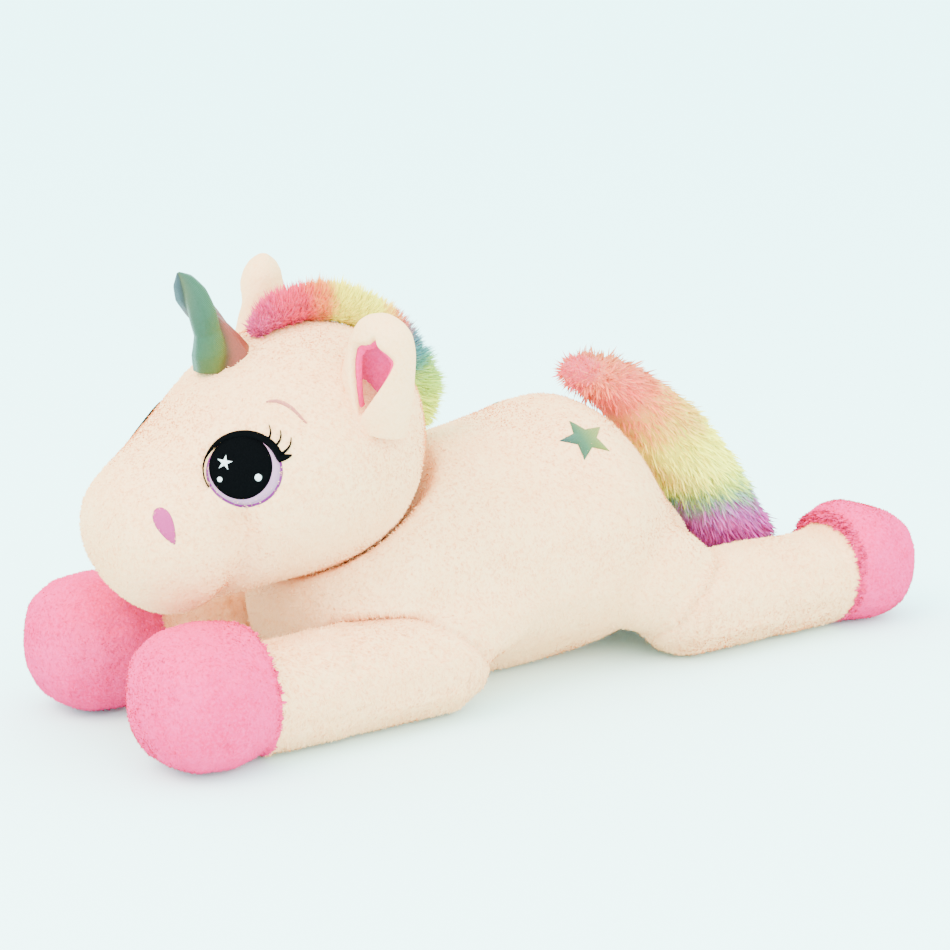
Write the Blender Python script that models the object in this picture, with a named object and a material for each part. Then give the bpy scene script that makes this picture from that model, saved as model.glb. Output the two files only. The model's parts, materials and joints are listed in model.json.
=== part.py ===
"""Plush unicorn lying on its belly: sewn covers, stuffing, embroidery, mane, horn and tail.

Metres, +Z up. The nose points along -Y, the unicorn's left is +X, and the floor is z = 0.
Each sewn cover is a shell with real thickness, and the stuffing is a separate solid inside it.
"""

import math

import bmesh
import bpy
from mathutils import Matrix, Vector
from mathutils.bvhtree import BVHTree

# ---- driving dimensions -------------------------------------------------------------------
FABRIC = 0.003                # plush fabric with its pile
SEAM = 0.0002                 # half of the gap between two panels that are sewn together
GAP = 0.0005                  # between a cover and what touches it
LAID = 0.0012                 # from a cover to the underside of what is laid on it
SWING_GAP = 0.0028            # between the torso and a piece that swings
ROUND = 2.05                  # exponent of the body's cross sections: 2 is an ellipse
FINE = 4                      # rows made between two stations of a loft

LEG_X = 0.087                 # centre line of a leg from the middle plane, at its hinge
LEG_Z = 0.043                 # height of a leg's centre line
FRONT_ROOT_Y = -0.135         # the front legs' hinge
HIND_ROOT_Y = 0.125           # the hind legs' hinge
FRONT_HOOF_SEAM = 0.170       # from the hinge to the hoof's seam
HIND_HOOF_SEAM = 0.167
LEG_SWEEP = (0, 10, 20)       # degrees outwards: what the torso leaves clear
REST = {("hind", -1): 12}     # degrees outwards at rest: the right hind leg lies splayed

BELLY_Y = -0.060              # the belly panel's middle
BELLY_LENGTH = 0.150
BELLY_WIDTH = 0.048

NECK = Vector((0, -0.150, 0.150))
NOD = (0, 6, 12)              # degrees upwards: what the torso leaves clear

EYE = Vector((0.073, -0.299, 0.2206))
EYE_RADIUS = 0.0262
NOSTRIL = Vector((0.0585, -0.3545, 0.1800))
BROW = Vector((0.0735, -0.261, 0.2630))
STAR = Vector((0.0700, 0.0290, 0.1990))
STAR_RADIUS = 0.021

EAR_HEIGHT = 0.092
EAR_WIDTH = 0.030
EAR_ROOT = Vector((0.0935, -0.194, 0.2560))
EAR_LEAN = {1: 16, -1: -9}    # degrees outwards: the left ear has flopped further
EAR_TURN = {1: 22, -1: 40}    # degrees that an ear's opening is turned outwards from the front
HORN_ROOT = Vector((0, -0.2740, 0.2800))
HORN_HEIGHT = 0.080
HORN_REACH = 0.033            # how far its tip leans forwards
HORN_RADIUS = 0.0205
TAIL_ROOT = Vector((0, 0.070, 0.2370))

# Stations along Y: (y, lowest z, highest z, half width). The first and last close to a point.
TORSO = [
    (-0.236, 0.075, 0.095, 0.004),
    (-0.230, 0.045, 0.120, 0.040),
    (-0.210, 0.012, 0.150, 0.074),
    (-0.170, -0.005, 0.180, 0.098),
    (-0.110, -0.008, 0.198, 0.105),
    (-0.050, -0.007, 0.205, 0.105),
    (0.005, -0.006, 0.215, 0.111),
    (0.055, 0.003, 0.222, 0.113),
    (0.100, 0.010, 0.192, 0.089),
    (0.138, 0.012, 0.143, 0.066),
    (0.166, 0.018, 0.115, 0.049),
    (0.181, 0.034, 0.098, 0.030),
    (0.186, 0.060, 0.082, 0.004),
]
HEAD = [
    (-0.104, 0.205, 0.225, 0.004),
    (-0.108, 0.180, 0.252, 0.030),
    (-0.125, 0.152, 0.280, 0.060),
    (-0.155, 0.128, 0.301, 0.089),
    (-0.190, 0.116, 0.310, 0.104),
    (-0.228, 0.112, 0.306, 0.108),
    (-0.260, 0.109, 0.293, 0.100),
    (-0.288, 0.103, 0.274, 0.087),
    (-0.313, 0.097, 0.253, 0.075),
    (-0.338, 0.098, 0.231, 0.069),
    (-0.360, 0.111, 0.214, 0.058),
    (-0.376, 0.134, 0.198, 0.039),
    (-0.383, 0.160, 0.174, 0.004),
]
# Stations along a leg, outwards from its hinge: (distance, radius).
LEG = [(-0.0425, 0.002), (-0.039, 0.020), (-0.024, 0.035), (0.0, 0.0425), (0.07, 0.0425),
       (0.130, 0.0435)]
FRONT_HOOF = [(0.0, 0.0470), (0.010, 0.0520), (0.034, 0.0550), (0.060, 0.0525),
              (0.080, 0.0420), (0.092, 0.0220), (0.095, 0.002)]
HIND_HOOF = [(0.0, 0.0460), (0.010, 0.0500), (0.034, 0.0515), (0.060, 0.0480),
             (0.080, 0.0380), (0.094, 0.0200), (0.097, 0.002)]
# The tail's centre line from its root: (y, z, half thickness, half width).
TAIL = [
    (0.066, 0.2380, 0.003, 0.003),
    (0.070, 0.2380, 0.012, 0.020),
    (0.088, 0.2350, 0.018, 0.031),
    (0.118, 0.2210, 0.025, 0.037),
    (0.151, 0.1945, 0.032, 0.040),
    (0.187, 0.1590, 0.036, 0.042),
    (0.218, 0.1210, 0.037, 0.041),
    (0.243, 0.0840, 0.039, 0.038),
    (0.258, 0.0550, 0.034, 0.032),
    (0.264, 0.0400, 0.004, 0.004),
]
# The mane follows the head's outline: (share of the way from start to end, height of the pile).
MANE_START, MANE_END = -0.246, -0.104
MANE_WIDTH = 0.019
MANE = [(0.0, 0.003), (0.05, 0.018), (0.15, 0.029), (0.35, 0.033), (0.55, 0.033), (0.75, 0.034),
        (0.92, 0.034), (1.0, 0.004)]

CREAM = (0.91, 0.78, 0.68, 1)
PINK = (0.90, 0.38, 0.52, 1)
FILL = (0.93, 0.93, 0.92, 1)
LILAC = (0.76, 0.52, 0.68, 1)
BLACK = (0.012, 0.011, 0.012, 1)
FUR = (0.86, 0.72, 0.42, 1)
SHINY = (0.22, 0.36, 0.22, 1)


# ---- Blender helpers ----------------------------------------------------------------------
def clear_scene():
    for obj in list(bpy.data.objects):
        bpy.data.objects.remove(obj)


def material(name, colour, roughness=0.9, metallic=0.0):
    found = bpy.data.materials.get(name)
    if found:
        return found
    made = bpy.data.materials.new(name)
    made.use_nodes = True
    shader = made.node_tree.nodes["Principled BSDF"]
    shader.inputs["Base Color"].default_value = colour
    shader.inputs["Roughness"].default_value = roughness
    shader.inputs["Metallic"].default_value = metallic
    return made


def add(name, points, faces, look):
    """An object from points and faces, with every face turned outwards."""
    mesh = bpy.data.meshes.new(name)
    mesh.from_pydata([tuple(p) for p in points], [], faces)
    shape = bmesh.new()
    shape.from_mesh(mesh)
    bmesh.ops.recalc_face_normals(shape, faces=shape.faces)
    shape.to_mesh(mesh)
    shape.free()
    mesh.shade_smooth()
    mesh.set_sharp_from_angle(angle=math.radians(50))
    obj = bpy.data.objects.new(name, mesh)
    bpy.context.scene.collection.objects.link(obj)
    if look:
        mesh.materials.append(look)
    return obj


def helper(obj):
    obj.hide_render = True
    obj.display_type = "WIRE"
    return obj


def hull(name, points):
    """The convex solid round the points."""
    shape = bmesh.new()
    for point in points:
        shape.verts.new(point)
    bmesh.ops.convex_hull(shape, input=shape.verts)
    inner = [v for v in shape.verts if not v.link_faces]
    bmesh.ops.delete(shape, geom=inner, context="VERTS")
    shape.verts.index_update()
    corners = [v.co.copy() for v in shape.verts]
    faces = [tuple(v.index for v in f.verts) for f in shape.faces]
    shape.free()
    return add(name, corners, faces, None)


def cutters(name, objects):
    """A collection of cutters that one Boolean reads."""
    group = bpy.data.collections.new(name)
    bpy.context.scene.collection.children.link(group)
    for obj in objects:
        helper(obj)
        group.objects.link(obj)
    return group


def boolean(target, operand, operation="DIFFERENCE"):
    step = target.modifiers.new(operation.title(), "BOOLEAN")
    step.operation = operation
    step.solver = "EXACT"
    if isinstance(operand, bpy.types.Collection):
        step.operand_type = "COLLECTION"
        step.collection = operand
    else:
        helper(operand)
        step.object = operand
    return target


def hinge(name, place, pieces):
    """An empty on a joint's axis, with the pieces that move with it as its children."""
    empty = bpy.data.objects.new(name, None)
    empty.location = place
    bpy.context.scene.collection.objects.link(empty)
    for piece in pieces:
        piece.parent = empty
        piece.matrix_parent_inverse = Matrix.Translation(-Vector(place))
    return empty


# ---- lofts --------------------------------------------------------------------------------
def smooth_rows(rows, steps=FINE):
    """Catmull-Rom rows through the given ones, with steps rows to each stretch."""
    made = []
    for i in range(len(rows) - 1):
        before, a, b = rows[max(i - 1, 0)], rows[i], rows[i + 1]
        after = rows[min(i + 2, len(rows) - 1)]
        for k in range(steps):
            t = k / steps
            made.append(tuple(
                0.5 * (2 * q + (r - p) * t + (2 * p - 5 * q + 4 * r - s) * t * t
                       + (3 * q - p - 3 * r + s) * t ** 3)
                for p, q, r, s in zip(before, a, b, after)))
    made.append(tuple(rows[-1]))
    return made


def power(value, exponent):
    return math.copysign(abs(value) ** (2 / exponent), value)


def section(row, turns, inset, floor=0.0):
    """Points of one cross section at the given turns from its top, none of them below the floor."""
    y, low, high, half = row
    middle, tall = (low + high) / 2, max((high - low) / 2 - inset, 0.0006)
    wide = max(half - inset, 0.0006)
    return [Vector((wide * power(math.sin(t), ROUND), y,
                    max(middle + tall * power(math.cos(t), ROUND), floor + inset)))
            for t in turns]


def shortened(rows, inset):
    """The same rows with both ends moved in by inset, as the inside of a shell needs."""
    first, last = rows[0][0], rows[-1][0]
    scale = (abs(last - first) - 2 * inset) / abs(last - first)
    middle = (first + last) / 2
    return [(middle + (r[0] - middle) * scale, *r[1:]) for r in rows]


def loft(name, rows, look, count=28, inset=0.0):
    """A closed solid through the rows, which run along Y."""
    turns = [math.tau * k / count for k in range(count)]
    rows = shortened(rows, inset)
    rings = [section(r, turns, inset) for r in rows[1:-1]]
    points = [p for ring in rings for p in ring]
    ends = [Vector((0, r[0], (r[1] + r[2]) / 2)) for r in (rows[0], rows[-1])]
    faces = []
    for i in range(len(rings) - 1):
        for k in range(count):
            a, b = i * count + k, i * count + (k + 1) % count
            faces.append((a, b, b + count, a + count))
    first, last = len(points), len(points) + 1
    tail = (len(rings) - 1) * count
    for k in range(count):
        faces.append((k, first, (k + 1) % count))
        faces.append((tail + k, tail + (k + 1) % count, last))
    return add(name, points + ends, faces, look)


def half_shell(name, rows, side, look, count=15):
    """Half of a sewn cover: the side of the middle plane that side names, with real thickness."""
    turns = [math.pi * k / (count - 1) for k in range(count)]
    points, faces = [], []
    grids = []
    for inset in (0.0, FABRIC):
        moved = shortened(rows, inset)
        start = len(points)
        for r in moved[1:-1]:
            points += [Vector((side * (SEAM + p.x), p.y, p.z)) for p in section(r, turns, inset)]
        grids.append(start)
        points += [Vector((side * SEAM, r[0], (r[1] + r[2]) / 2)) for r in (moved[0], moved[-1])]
    outer, inner = grids
    number = len(rows) - 2
    first, last = number * count, number * count + 1

    for base in grids:
        for i in range(number - 1):
            for k in range(count - 1):
                a = base + i * count + k
                faces.append((a, a + 1, a + 1 + count, a + count))
        for k in range(count - 1):
            faces.append((base + k, base + first, base + k + 1))
            end = base + (number - 1) * count + k
            faces.append((end, end + 1, base + last))
    for column in (0, count - 1):
        edge = [first, *[i * count + column for i in range(number)], last]
        for a, b in zip(edge, edge[1:]):
            faces.append((outer + a, outer + b, inner + b, inner + a))
    return add(name, points, faces, look)


def tube_frame(rows, place, direction, inset, floor=0.0, count=20):
    """Rings of a round limb along Y from (distance, radius) rows. place is its hinge."""
    rings = []
    for distance, radius in rows:
        ring = []
        for k in range(count):
            t = math.tau * k / count
            wide = max(radius - inset, 0.0008)
            ring.append(Vector((place.x + wide * math.sin(t), place.y + direction * distance,
                                max(place.z + wide * math.cos(t), floor + inset))))
        rings.append(ring)
    return rings


def ring_faces(rings, count, base=0):
    """Quads between rings of count points, and a face that closes the first ring."""
    made = [tuple(base + k for k in range(count))]
    for i in range(rings - 1):
        for k in range(count):
            a, b = base + i * count + k, base + i * count + (k + 1) % count
            made.append((a, b, b + count, a + count))
    return made


def solid_tube(name, rings, look):
    """A solid through the rings, closed at both ends."""
    count = len(rings[0])
    points = [p for ring in rings for p in ring]
    end = tuple((len(rings) - 1) * count + k for k in range(count))
    return add(name, points, [*ring_faces(len(rings), count), end], look)


def cup(name, outer, inner, look):
    """A shell closed at its first ring and open at its last."""
    count = len(outer[0])
    points = [p for ring in outer for p in ring] + [p for ring in inner for p in ring]
    base = len(outer) * count
    faces = ring_faces(len(outer), count) + ring_faces(len(inner), count, base)
    far_out, far_in = (len(outer) - 1) * count, base + (len(inner) - 1) * count
    for k in range(count):
        n = (k + 1) % count
        faces.append((far_out + k, far_out + n, far_in + n, far_in + k))
    return add(name, points, faces, look)


# ---- pieces laid on a surface -------------------------------------------------------------
def surface_of(obj):
    mesh = obj.data
    return BVHTree.FromPolygons([v.co.copy() for v in mesh.vertices],
                                [tuple(p.vertices) for p in mesh.polygons])


def patch(name, tree, centre, outline, low, thick, look, tilt=0.0, rings=3):
    """A thin solid laid on a surface. outline(t) gives its edge about centre in metres,
    along the surface's sideways and upward directions; low is its underside's height."""
    hit, normal, _, _ = tree.find_nearest(centre)
    up = (Vector((0, 0, 1)) - normal * normal.z).normalized()
    across = up.cross(normal)
    turn = Matrix.Rotation(tilt, 3, normal)
    up, across = turn @ up, turn @ across
    edge = outline()
    count = len(edge)
    flat = [Vector((0, 0))] + [Vector(e) * (r + 1) / rings for r in range(rings) for e in edge]
    layers = []
    for height in (low, low + thick):
        for u, v in flat:
            start = hit + across * u + up * v + normal * 0.05
            place, slope, _, _ = tree.ray_cast(start, -normal)
            layers.append(place + (slope * 0.3 + normal * 0.7).normalized() * height)
    size = len(flat)
    faces = []
    for k in range(count):
        n = (k + 1) % count
        faces.append((size, size + 1 + k, size + 1 + n))
        faces.append((0, 1 + n, 1 + k))
        for r in range(rings - 1):
            a, b = 1 + r * count + k, 1 + r * count + n
            faces.append((size + a, size + a + count, size + b + count, size + b))
            faces.append((b, b + count, a + count, a))
        a, b = 1 + (rings - 1) * count + k, 1 + (rings - 1) * count + n
        faces.append((a, b, size + b, size + a))
    return add(name, layers, faces, look)


def oval(wide, tall, count=20, lift=0.0):
    return [(wide * math.cos(math.tau * k / count), lift + tall * math.sin(math.tau * k / count))
            for k in range(count)]


def ribbon(radius, thickness, start, stop, count=14, squash=1.0):
    """The closed outline of an arc that tapers to both ends, about its own middle."""
    line = []
    for k in range(count):
        t = k / (count - 1)
        angle = math.radians(start + (stop - start) * t)
        half = thickness / 2 * (0.25 + 0.75 * math.sin(math.pi * t) ** 0.7)
        line.append((angle, half))
    outer = [((radius + h) * math.cos(a), (radius + h) * math.sin(a) * squash) for a, h in line]
    inner = [((radius - h) * math.cos(a), (radius - h) * math.sin(a) * squash) for a, h in line]
    return outer, inner


def laid_ribbon(name, tree, centre, outer, inner, low, thick, look, side, tilt=0.0):
    """A thin bent band on a surface, from the two edges that ribbon gives."""
    hit, normal, _, _ = tree.find_nearest(centre)
    up = (Vector((0, 0, 1)) - normal * normal.z).normalized()
    across = up.cross(normal) * side
    turn = Matrix.Rotation(tilt * side, 3, normal)
    up, across = turn @ up, turn @ across
    points = []
    for height in (low, low + thick):
        for row in (outer, inner):
            for u, v in row:
                start = hit + across * u + up * v + normal * 0.05
                place, _, _, _ = tree.ray_cast(start, -normal)
                points.append(place + normal * height)
    n = len(outer)
    faces = []
    for k in range(n - 1):
        lo, li, to, ti = k, n + k, 2 * n + k, 3 * n + k
        faces += [(to, ti, ti + 1, to + 1), (lo, lo + 1, li + 1, li),
                  (lo, to, to + 1, lo + 1), (li, li + 1, ti + 1, ti)]
    faces += [(0, n, 3 * n, 2 * n), (n - 1, 3 * n - 1, 4 * n - 1, 2 * n - 1)]
    return add(name, points, faces, look)


def star(radius, inner_share=0.48):
    """Ten corners of a five-pointed star."""
    corners = []
    for k in range(10):
        r = radius if k % 2 == 0 else radius * inner_share
        angle = math.radians(90 + 36 * k)
        corners.append((r * math.cos(angle), r * math.sin(angle)))
    return corners


def teardrop(long, wide, count=16):
    """A drop with its point downwards."""
    made = []
    for k in range(count):
        t = math.tau * k / count
        pinch = 0.5 + 0.5 * math.sin(t)
        made.append((wide * math.cos(t) * (0.35 + 0.65 * pinch), long * math.sin(t)))
    return made


# ---- the object's sub-assemblies ----------------------------------------------------------
def leg_rows(seam):
    """The leg's rows from its closed root to the hoof's seam."""
    return smooth_rows(LEG[:4], 2) + LEG[4:] + [(seam - SEAM, 0.0445)]


def swung(place, direction, degrees):
    """The turn that swings a leg outwards on its upright hinge."""
    turn = math.radians(degrees) * (1 if direction * place.x < 0 else -1)
    move = Matrix.Translation(place)
    return move @ Matrix.Rotation(turn, 4, "Z") @ move.inverted()


def leg_sweep(place, direction):
    """The space that one leg takes as it swings outwards, with clearance."""
    seam = FRONT_HOOF_SEAM if direction < 0 else HIND_HOOF_SEAM
    rows = [(d, r + SWING_GAP) for d, r in LEG[1:] + [(seam, 0.0445)]]
    rows[0] = (rows[0][0] - SWING_GAP, rows[0][1])
    rings = tube_frame(rows, place, direction, 0.0, floor=-0.02)
    points = [swung(place, direction, angle) @ p
              for angle in LEG_SWEEP for ring in rings for p in ring]
    return hull(f"leg_sweep_{place.x:.2f}_{place.y:.2f}", points)


def leg(kind, side, direction):
    """Cover, hoof and stuffing of one leg, on a hinge that stands upright at its root."""
    word = "left" if side > 0 else "right"
    root_y = FRONT_ROOT_Y if direction < 0 else HIND_ROOT_Y
    seam = FRONT_HOOF_SEAM if direction < 0 else HIND_HOOF_SEAM
    hoof_rows = FRONT_HOOF if direction < 0 else HIND_HOOF
    place = Vector((side * LEG_X, root_y, LEG_Z))
    rows = leg_rows(seam)
    inner_rows = [(max(d, rows[0][0] + FABRIC), r) for d, r in rows]
    outer = tube_frame(rows, place, direction, 0.0)
    inner = tube_frame(inner_rows[1:], place, direction, FABRIC)
    cover = cup(f"{kind}_leg_cover_{word}", outer, inner, material("cream_plush", CREAM))

    hoof_place = place + Vector((0, 0, 0.011 if direction < 0 else 0.007))
    made = [(seam + SEAM + d, r) for d, r in reversed(hoof_rows)]
    tip = made[0][0]
    hoof_inner = [(min(d, tip - FABRIC), r) for d, r in made[1:]]
    hoof = cup(f"{kind}_hoof_cover_{word}", tube_frame(made, hoof_place, direction, 0.0),
               tube_frame(hoof_inner, hoof_place, direction, FABRIC),
               material("pink_plush", PINK))

    fill_inset = FABRIC + GAP
    core = [(max(d, rows[0][0] + fill_inset), r) for d, r in rows[1:-1]]
    core.append((seam - 0.012, core[-1][1]))
    rings = tube_frame(core, place, direction, fill_inset, floor=4 * GAP)
    rings += tube_frame([(seam, 0.037)], (place + hoof_place) / 2, direction, fill_inset)
    toe = [(min(d, tip - fill_inset), r) for d, r in reversed(made[1:-1])]
    rings += tube_frame(toe, hoof_place, direction, fill_inset, floor=4 * GAP)
    fill = solid_tube(f"{kind}_leg_stuffing_{word}", rings, material("stuffing", FILL))
    pieces = [cover, hoof, fill]
    for piece in pieces:
        piece.data.transform(swung(place, direction, REST.get((kind, side), 0)))
    hinge(f"{kind}_leg_hinge_{word}", place, pieces)


def torso(sweeps):
    """The two side covers, the belly panel and the stuffing, cut clear of head and legs."""
    rows = smooth_rows(TORSO, 2)
    cream = material("cream_plush", CREAM)
    hole = helper(belly_oval("belly_hole", 2 * SEAM, -0.02, 4 * FABRIC, None))
    clear = cutters("swept_space", sweeps)
    for side, word in ((1, "left"), (-1, "right")):
        cover = half_shell(f"torso_cover_{word}", rows, side, cream)
        boolean(cover, hole)
        boolean(cover, clear)
    belly_oval("belly_panel", 0.0, 0.0, FABRIC, cream)
    fill = loft("torso_stuffing", rows[::2], material("stuffing", FILL), count=16,
                inset=FABRIC + 4 * GAP)
    boolean(fill, clear)
    return helper(loft("torso_form", rows, None))


def belly_oval(name, grow, low, high, look, count=24):
    """An upright oval prism: the flat panel that closes the belly, or the hole it fills."""
    wide, long = BELLY_WIDTH / 2 + grow, BELLY_LENGTH / 2 + grow
    turns = [math.tau * k / count for k in range(count)]
    rings = [[Vector((wide * math.cos(t), BELLY_Y + long * math.sin(t), z)) for t in turns]
             for z in (low, high)]
    return solid_tube(name, rings, look)


def head():
    """The two head covers and their stuffing."""
    rows = smooth_rows(HEAD, 2)
    cream = material("cream_plush", CREAM)
    pieces = [half_shell(f"head_cover_{word}", rows, side, cream)
              for side, word in ((1, "left"), (-1, "right"))]
    pieces.append(loft("head_stuffing", rows[::2], material("stuffing", FILL), count=16,
                       inset=FABRIC + 2 * GAP))
    return pieces


def head_sweep():
    """The space that the head's outside takes as it nods, with clearance."""
    turns = [math.tau * k / 24 for k in range(24)]
    rows = [(y + shift, low - SWING_GAP, high + SWING_GAP, half + SWING_GAP)
            for y, low, high, half in smooth_rows(HEAD, 2) for shift in (0, SWING_GAP)]
    points = []
    for angle in NOD:
        turn = Matrix.Rotation(-math.radians(angle), 4, "X")
        nod = Matrix.Translation(NECK) @ turn @ Matrix.Translation(-NECK)
        points += [nod @ p for row in rows for p in section(row, turns, 0.0)]
    return hull("head_sweep", points)


def face(tree):
    """Embroidered eyes, lids, brows and nostrils, laid on the head's cover."""
    pieces = []
    for side, word in ((1, "left"), (-1, "right")):
        def at(point):
            return Vector((side * point.x, point.y, point.z))

        pieces.append(patch(f"eye_iris_{word}", tree, at(EYE),
                            lambda: oval(EYE_RADIUS, EYE_RADIUS, 20), LAID, 0.0008,
                            material("lilac_thread", LILAC, 0.6)))
        pieces.append(patch(f"eye_pupil_{word}", tree, at(EYE),
                            lambda: oval(0.0215, 0.0225, 20, 0.0025), LAID + 0.0014, 0.0008,
                            material("black_thread", BLACK, 0.5)))
        outer, inner = ribbon(EYE_RADIUS + 0.0021, 0.0028, 5, 195, 18)
        pieces.append(laid_ribbon(f"eye_lid_{word}", tree, at(EYE), outer, inner, LAID, 0.0014,
                                  material("black_thread", BLACK, 0.5), side))
        outer, inner = ribbon(0.030, 0.0024, 60, 112, 9)
        outer = [(u, v - 0.030) for u, v in outer]
        inner = [(u, v - 0.030) for u, v in inner]
        pieces.append(laid_ribbon(f"brow_{word}", tree, at(BROW), outer, inner, LAID, 0.0009,
                                  material("lilac_thread", LILAC, 0.6), side))
        pieces.append(patch(f"nostril_{word}", tree, at(NOSTRIL),
                            lambda: teardrop(0.0135, 0.0085), LAID, 0.0010,
                            material("lilac_thread", LILAC, 0.6), tilt=side * math.radians(24)))
    return pieces


def ear_sheet(name, side, low, high, trim, look, rows=9, columns=9):
    """A bent sheet of the ear between two insets. trim leaves out that much of the grid's edge."""
    lean = Matrix.Rotation(side * math.radians(EAR_LEAN[side]), 3, "Y")
    face_out = Matrix.Rotation(side * math.radians(EAR_TURN[side]), 3, "Z")
    place = Vector((side * EAR_ROOT.x, EAR_ROOT.y, EAR_ROOT.z))
    points = []
    for inset in (low, high):
        for i in range(trim, rows - trim):
            u = i / (rows - 1)
            radius = EAR_WIDTH * (1 - 0.76 * u ** 3) - inset
            half = math.radians(148 - 50 * u)
            for k in range(trim, columns - trim):
                t = half * (2 * k / (columns - 1) - 1)
                flat = Vector((radius * math.sin(t) * 0.92, radius * math.cos(t) * 0.62,
                               EAR_HEIGHT * u))
                points.append(place + lean @ (face_out @ flat))
    return sheet(name, points, rows - 2 * trim, columns - 2 * trim, look)


def sheet(name, points, rows, columns, look):
    """A closed solid from two grids of points, one behind the other."""
    size = rows * columns
    edge = [i * columns for i in range(rows)]
    edge += [(rows - 1) * columns + k for k in range(1, columns)]
    edge += [i * columns + columns - 1 for i in range(rows - 2, -1, -1)]
    edge += list(range(columns - 2, 0, -1))
    faces = []
    for i in range(rows - 1):
        for k in range(columns - 1):
            a = i * columns + k
            quad = (a, a + 1, a + 1 + columns, a + columns)
            faces += [quad, tuple(size + q for q in quad)]
    for a, b in zip(edge, edge[1:] + edge[:1]):
        faces.append((a, b, b + size, a + size))
    return add(name, points, faces, look)


def ear(side, skin):
    """Outer shell and pink lining of one ear, cupped towards the outside."""
    word = "left" if side > 0 else "right"
    outer = ear_sheet(f"ear_outer_{word}", side, 0.0, FABRIC, 0, material("cream_plush", CREAM))
    lining = ear_sheet(f"ear_lining_{word}", side, FABRIC + GAP, FABRIC + GAP + 0.0016, 1,
                       material("pink_plush", PINK))
    boolean(outer, skin)
    boolean(lining, skin)
    hinge(f"ear_hinge_{word}", (side * EAR_ROOT.x, EAR_ROOT.y, EAR_ROOT.z), [outer, lining])


def horn_rings(inset, first, last, count, rows):
    """Rings of a twisted two-lobed cone that leans forwards near its tip."""
    rings = []
    for i in range(rows):
        u = first + (last - first) * i / (rows - 1)
        bend = Vector((0, -HORN_REACH * u ** 1.4, HORN_HEIGHT * u))
        lean = Matrix.Rotation(math.radians(22 * u), 3, "X")
        size = HORN_RADIUS * (1 - 0.80 * u ** 1.25)
        ring = []
        for k in range(count):
            t = math.tau * k / count
            radius = max(size * (1 + 0.20 * math.cos(2 * t - 6.6 * u)) - inset, 0.0009)
            flat = Vector((radius * math.sin(t), radius * math.cos(t), 0))
            ring.append(HORN_ROOT + bend + lean @ flat)
        rings.append(ring)
    return rings


def horn(skin):
    """Shiny twisted cover with its stuffing, sewn to the forehead."""
    thin = 0.0012
    outer = list(reversed(horn_rings(0.0, 0.0, 1.0, 16, 10)))
    inner = list(reversed(horn_rings(thin, 0.0, 0.965, 16, 10)))
    cover = cup("horn_cover", outer, inner, material("shiny_fabric", SHINY, 0.35, 0.3))
    fill = solid_tube("horn_stuffing", horn_rings(thin + 3 * GAP, 0.0, 0.90, 16, 10),
                      material("stuffing", FILL))
    boolean(cover, skin)
    boolean(fill, skin)
    hinge("horn_hinge", HORN_ROOT, [cover, fill])


def mane():
    """A strip of long pile sewn over the crown and down the back of the head."""
    outline = [(r[0], r[2]) for r in reversed(smooth_rows(HEAD, 2))
               if MANE_START <= r[0] <= MANE_END]
    lengths = [0.0]
    for a, b in zip(outline, outline[1:]):
        lengths.append(lengths[-1] + math.hypot(b[0] - a[0], b[1] - a[1]))
    count, rings = 10, []
    for share, tall in smooth_rows(MANE, 2):
        reach = min(max(share, 0.0), 1.0) * lengths[-1]
        i = max(k for k in range(len(lengths) - 1) if lengths[k] <= reach)
        t = (reach - lengths[i]) / (lengths[i + 1] - lengths[i])
        a, b = outline[i], outline[i + 1]
        before, after = outline[max(i - 1, 0)], outline[min(i + 2, len(outline) - 1)]
        along = Vector((0, after[0] - before[0], after[1] - before[1])).normalized()
        out = Vector((0, -along.z, along.y))
        base = Vector((0, a[0] + (b[0] - a[0]) * t, a[1] + (b[1] - a[1]) * t)) + out * 0.0012
        wide = MANE_WIDTH * min(1.0, tall / 0.012)
        ring = []
        for k in range(count):
            turn = math.tau * k / count
            lift = tall * (0.5 - 0.5 * math.cos(turn))
            spread = wide * math.sin(turn) * (1 - 0.25 * lift / tall)
            ring.append(base + Vector((spread, 0, 0)) + out * lift)
        rings.append(ring)
    return solid_tube("mane", rings, material("long_pile", FUR))


def tail():
    """Two fur panels sewn together along the middle, hanging from the top of the rump."""
    rows = smooth_rows(TAIL, 2)
    count, look = 9, material("long_pile", FUR)
    pieces = []
    for side, word in ((1, "left"), (-1, "right")):
        rings = []
        for i, (y, z, thick, wide) in enumerate(rows):
            a, b = rows[max(i - 1, 0)], rows[min(i + 1, len(rows) - 1)]
            along = Vector((0, b[0] - a[0], b[1] - a[1])).normalized()
            out = Vector((0, -along.z, along.y))
            ring = []
            for k in range(count):
                t = math.pi * k / (count - 1)
                ring.append(Vector((side * (SEAM + wide * math.sin(t)), y, z))
                            + out * thick * math.cos(t))
            rings.append(ring)
        pieces.append(solid_tube(f"tail_panel_{word}", rings, look))
    hinge("tail_hinge", TAIL_ROOT, pieces)


def star_patches(tree):
    for side, word in ((1, "left"), (-1, "right")):
        patch(f"star_patch_{word}", tree, Vector((side * STAR.x, STAR.y, STAR.z)),
              lambda: star(STAR_RADIUS), LAID, 0.0010,
              material("shiny_fabric", SHINY, 0.35, 0.3), tilt=side * 0.3, rings=4)


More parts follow.
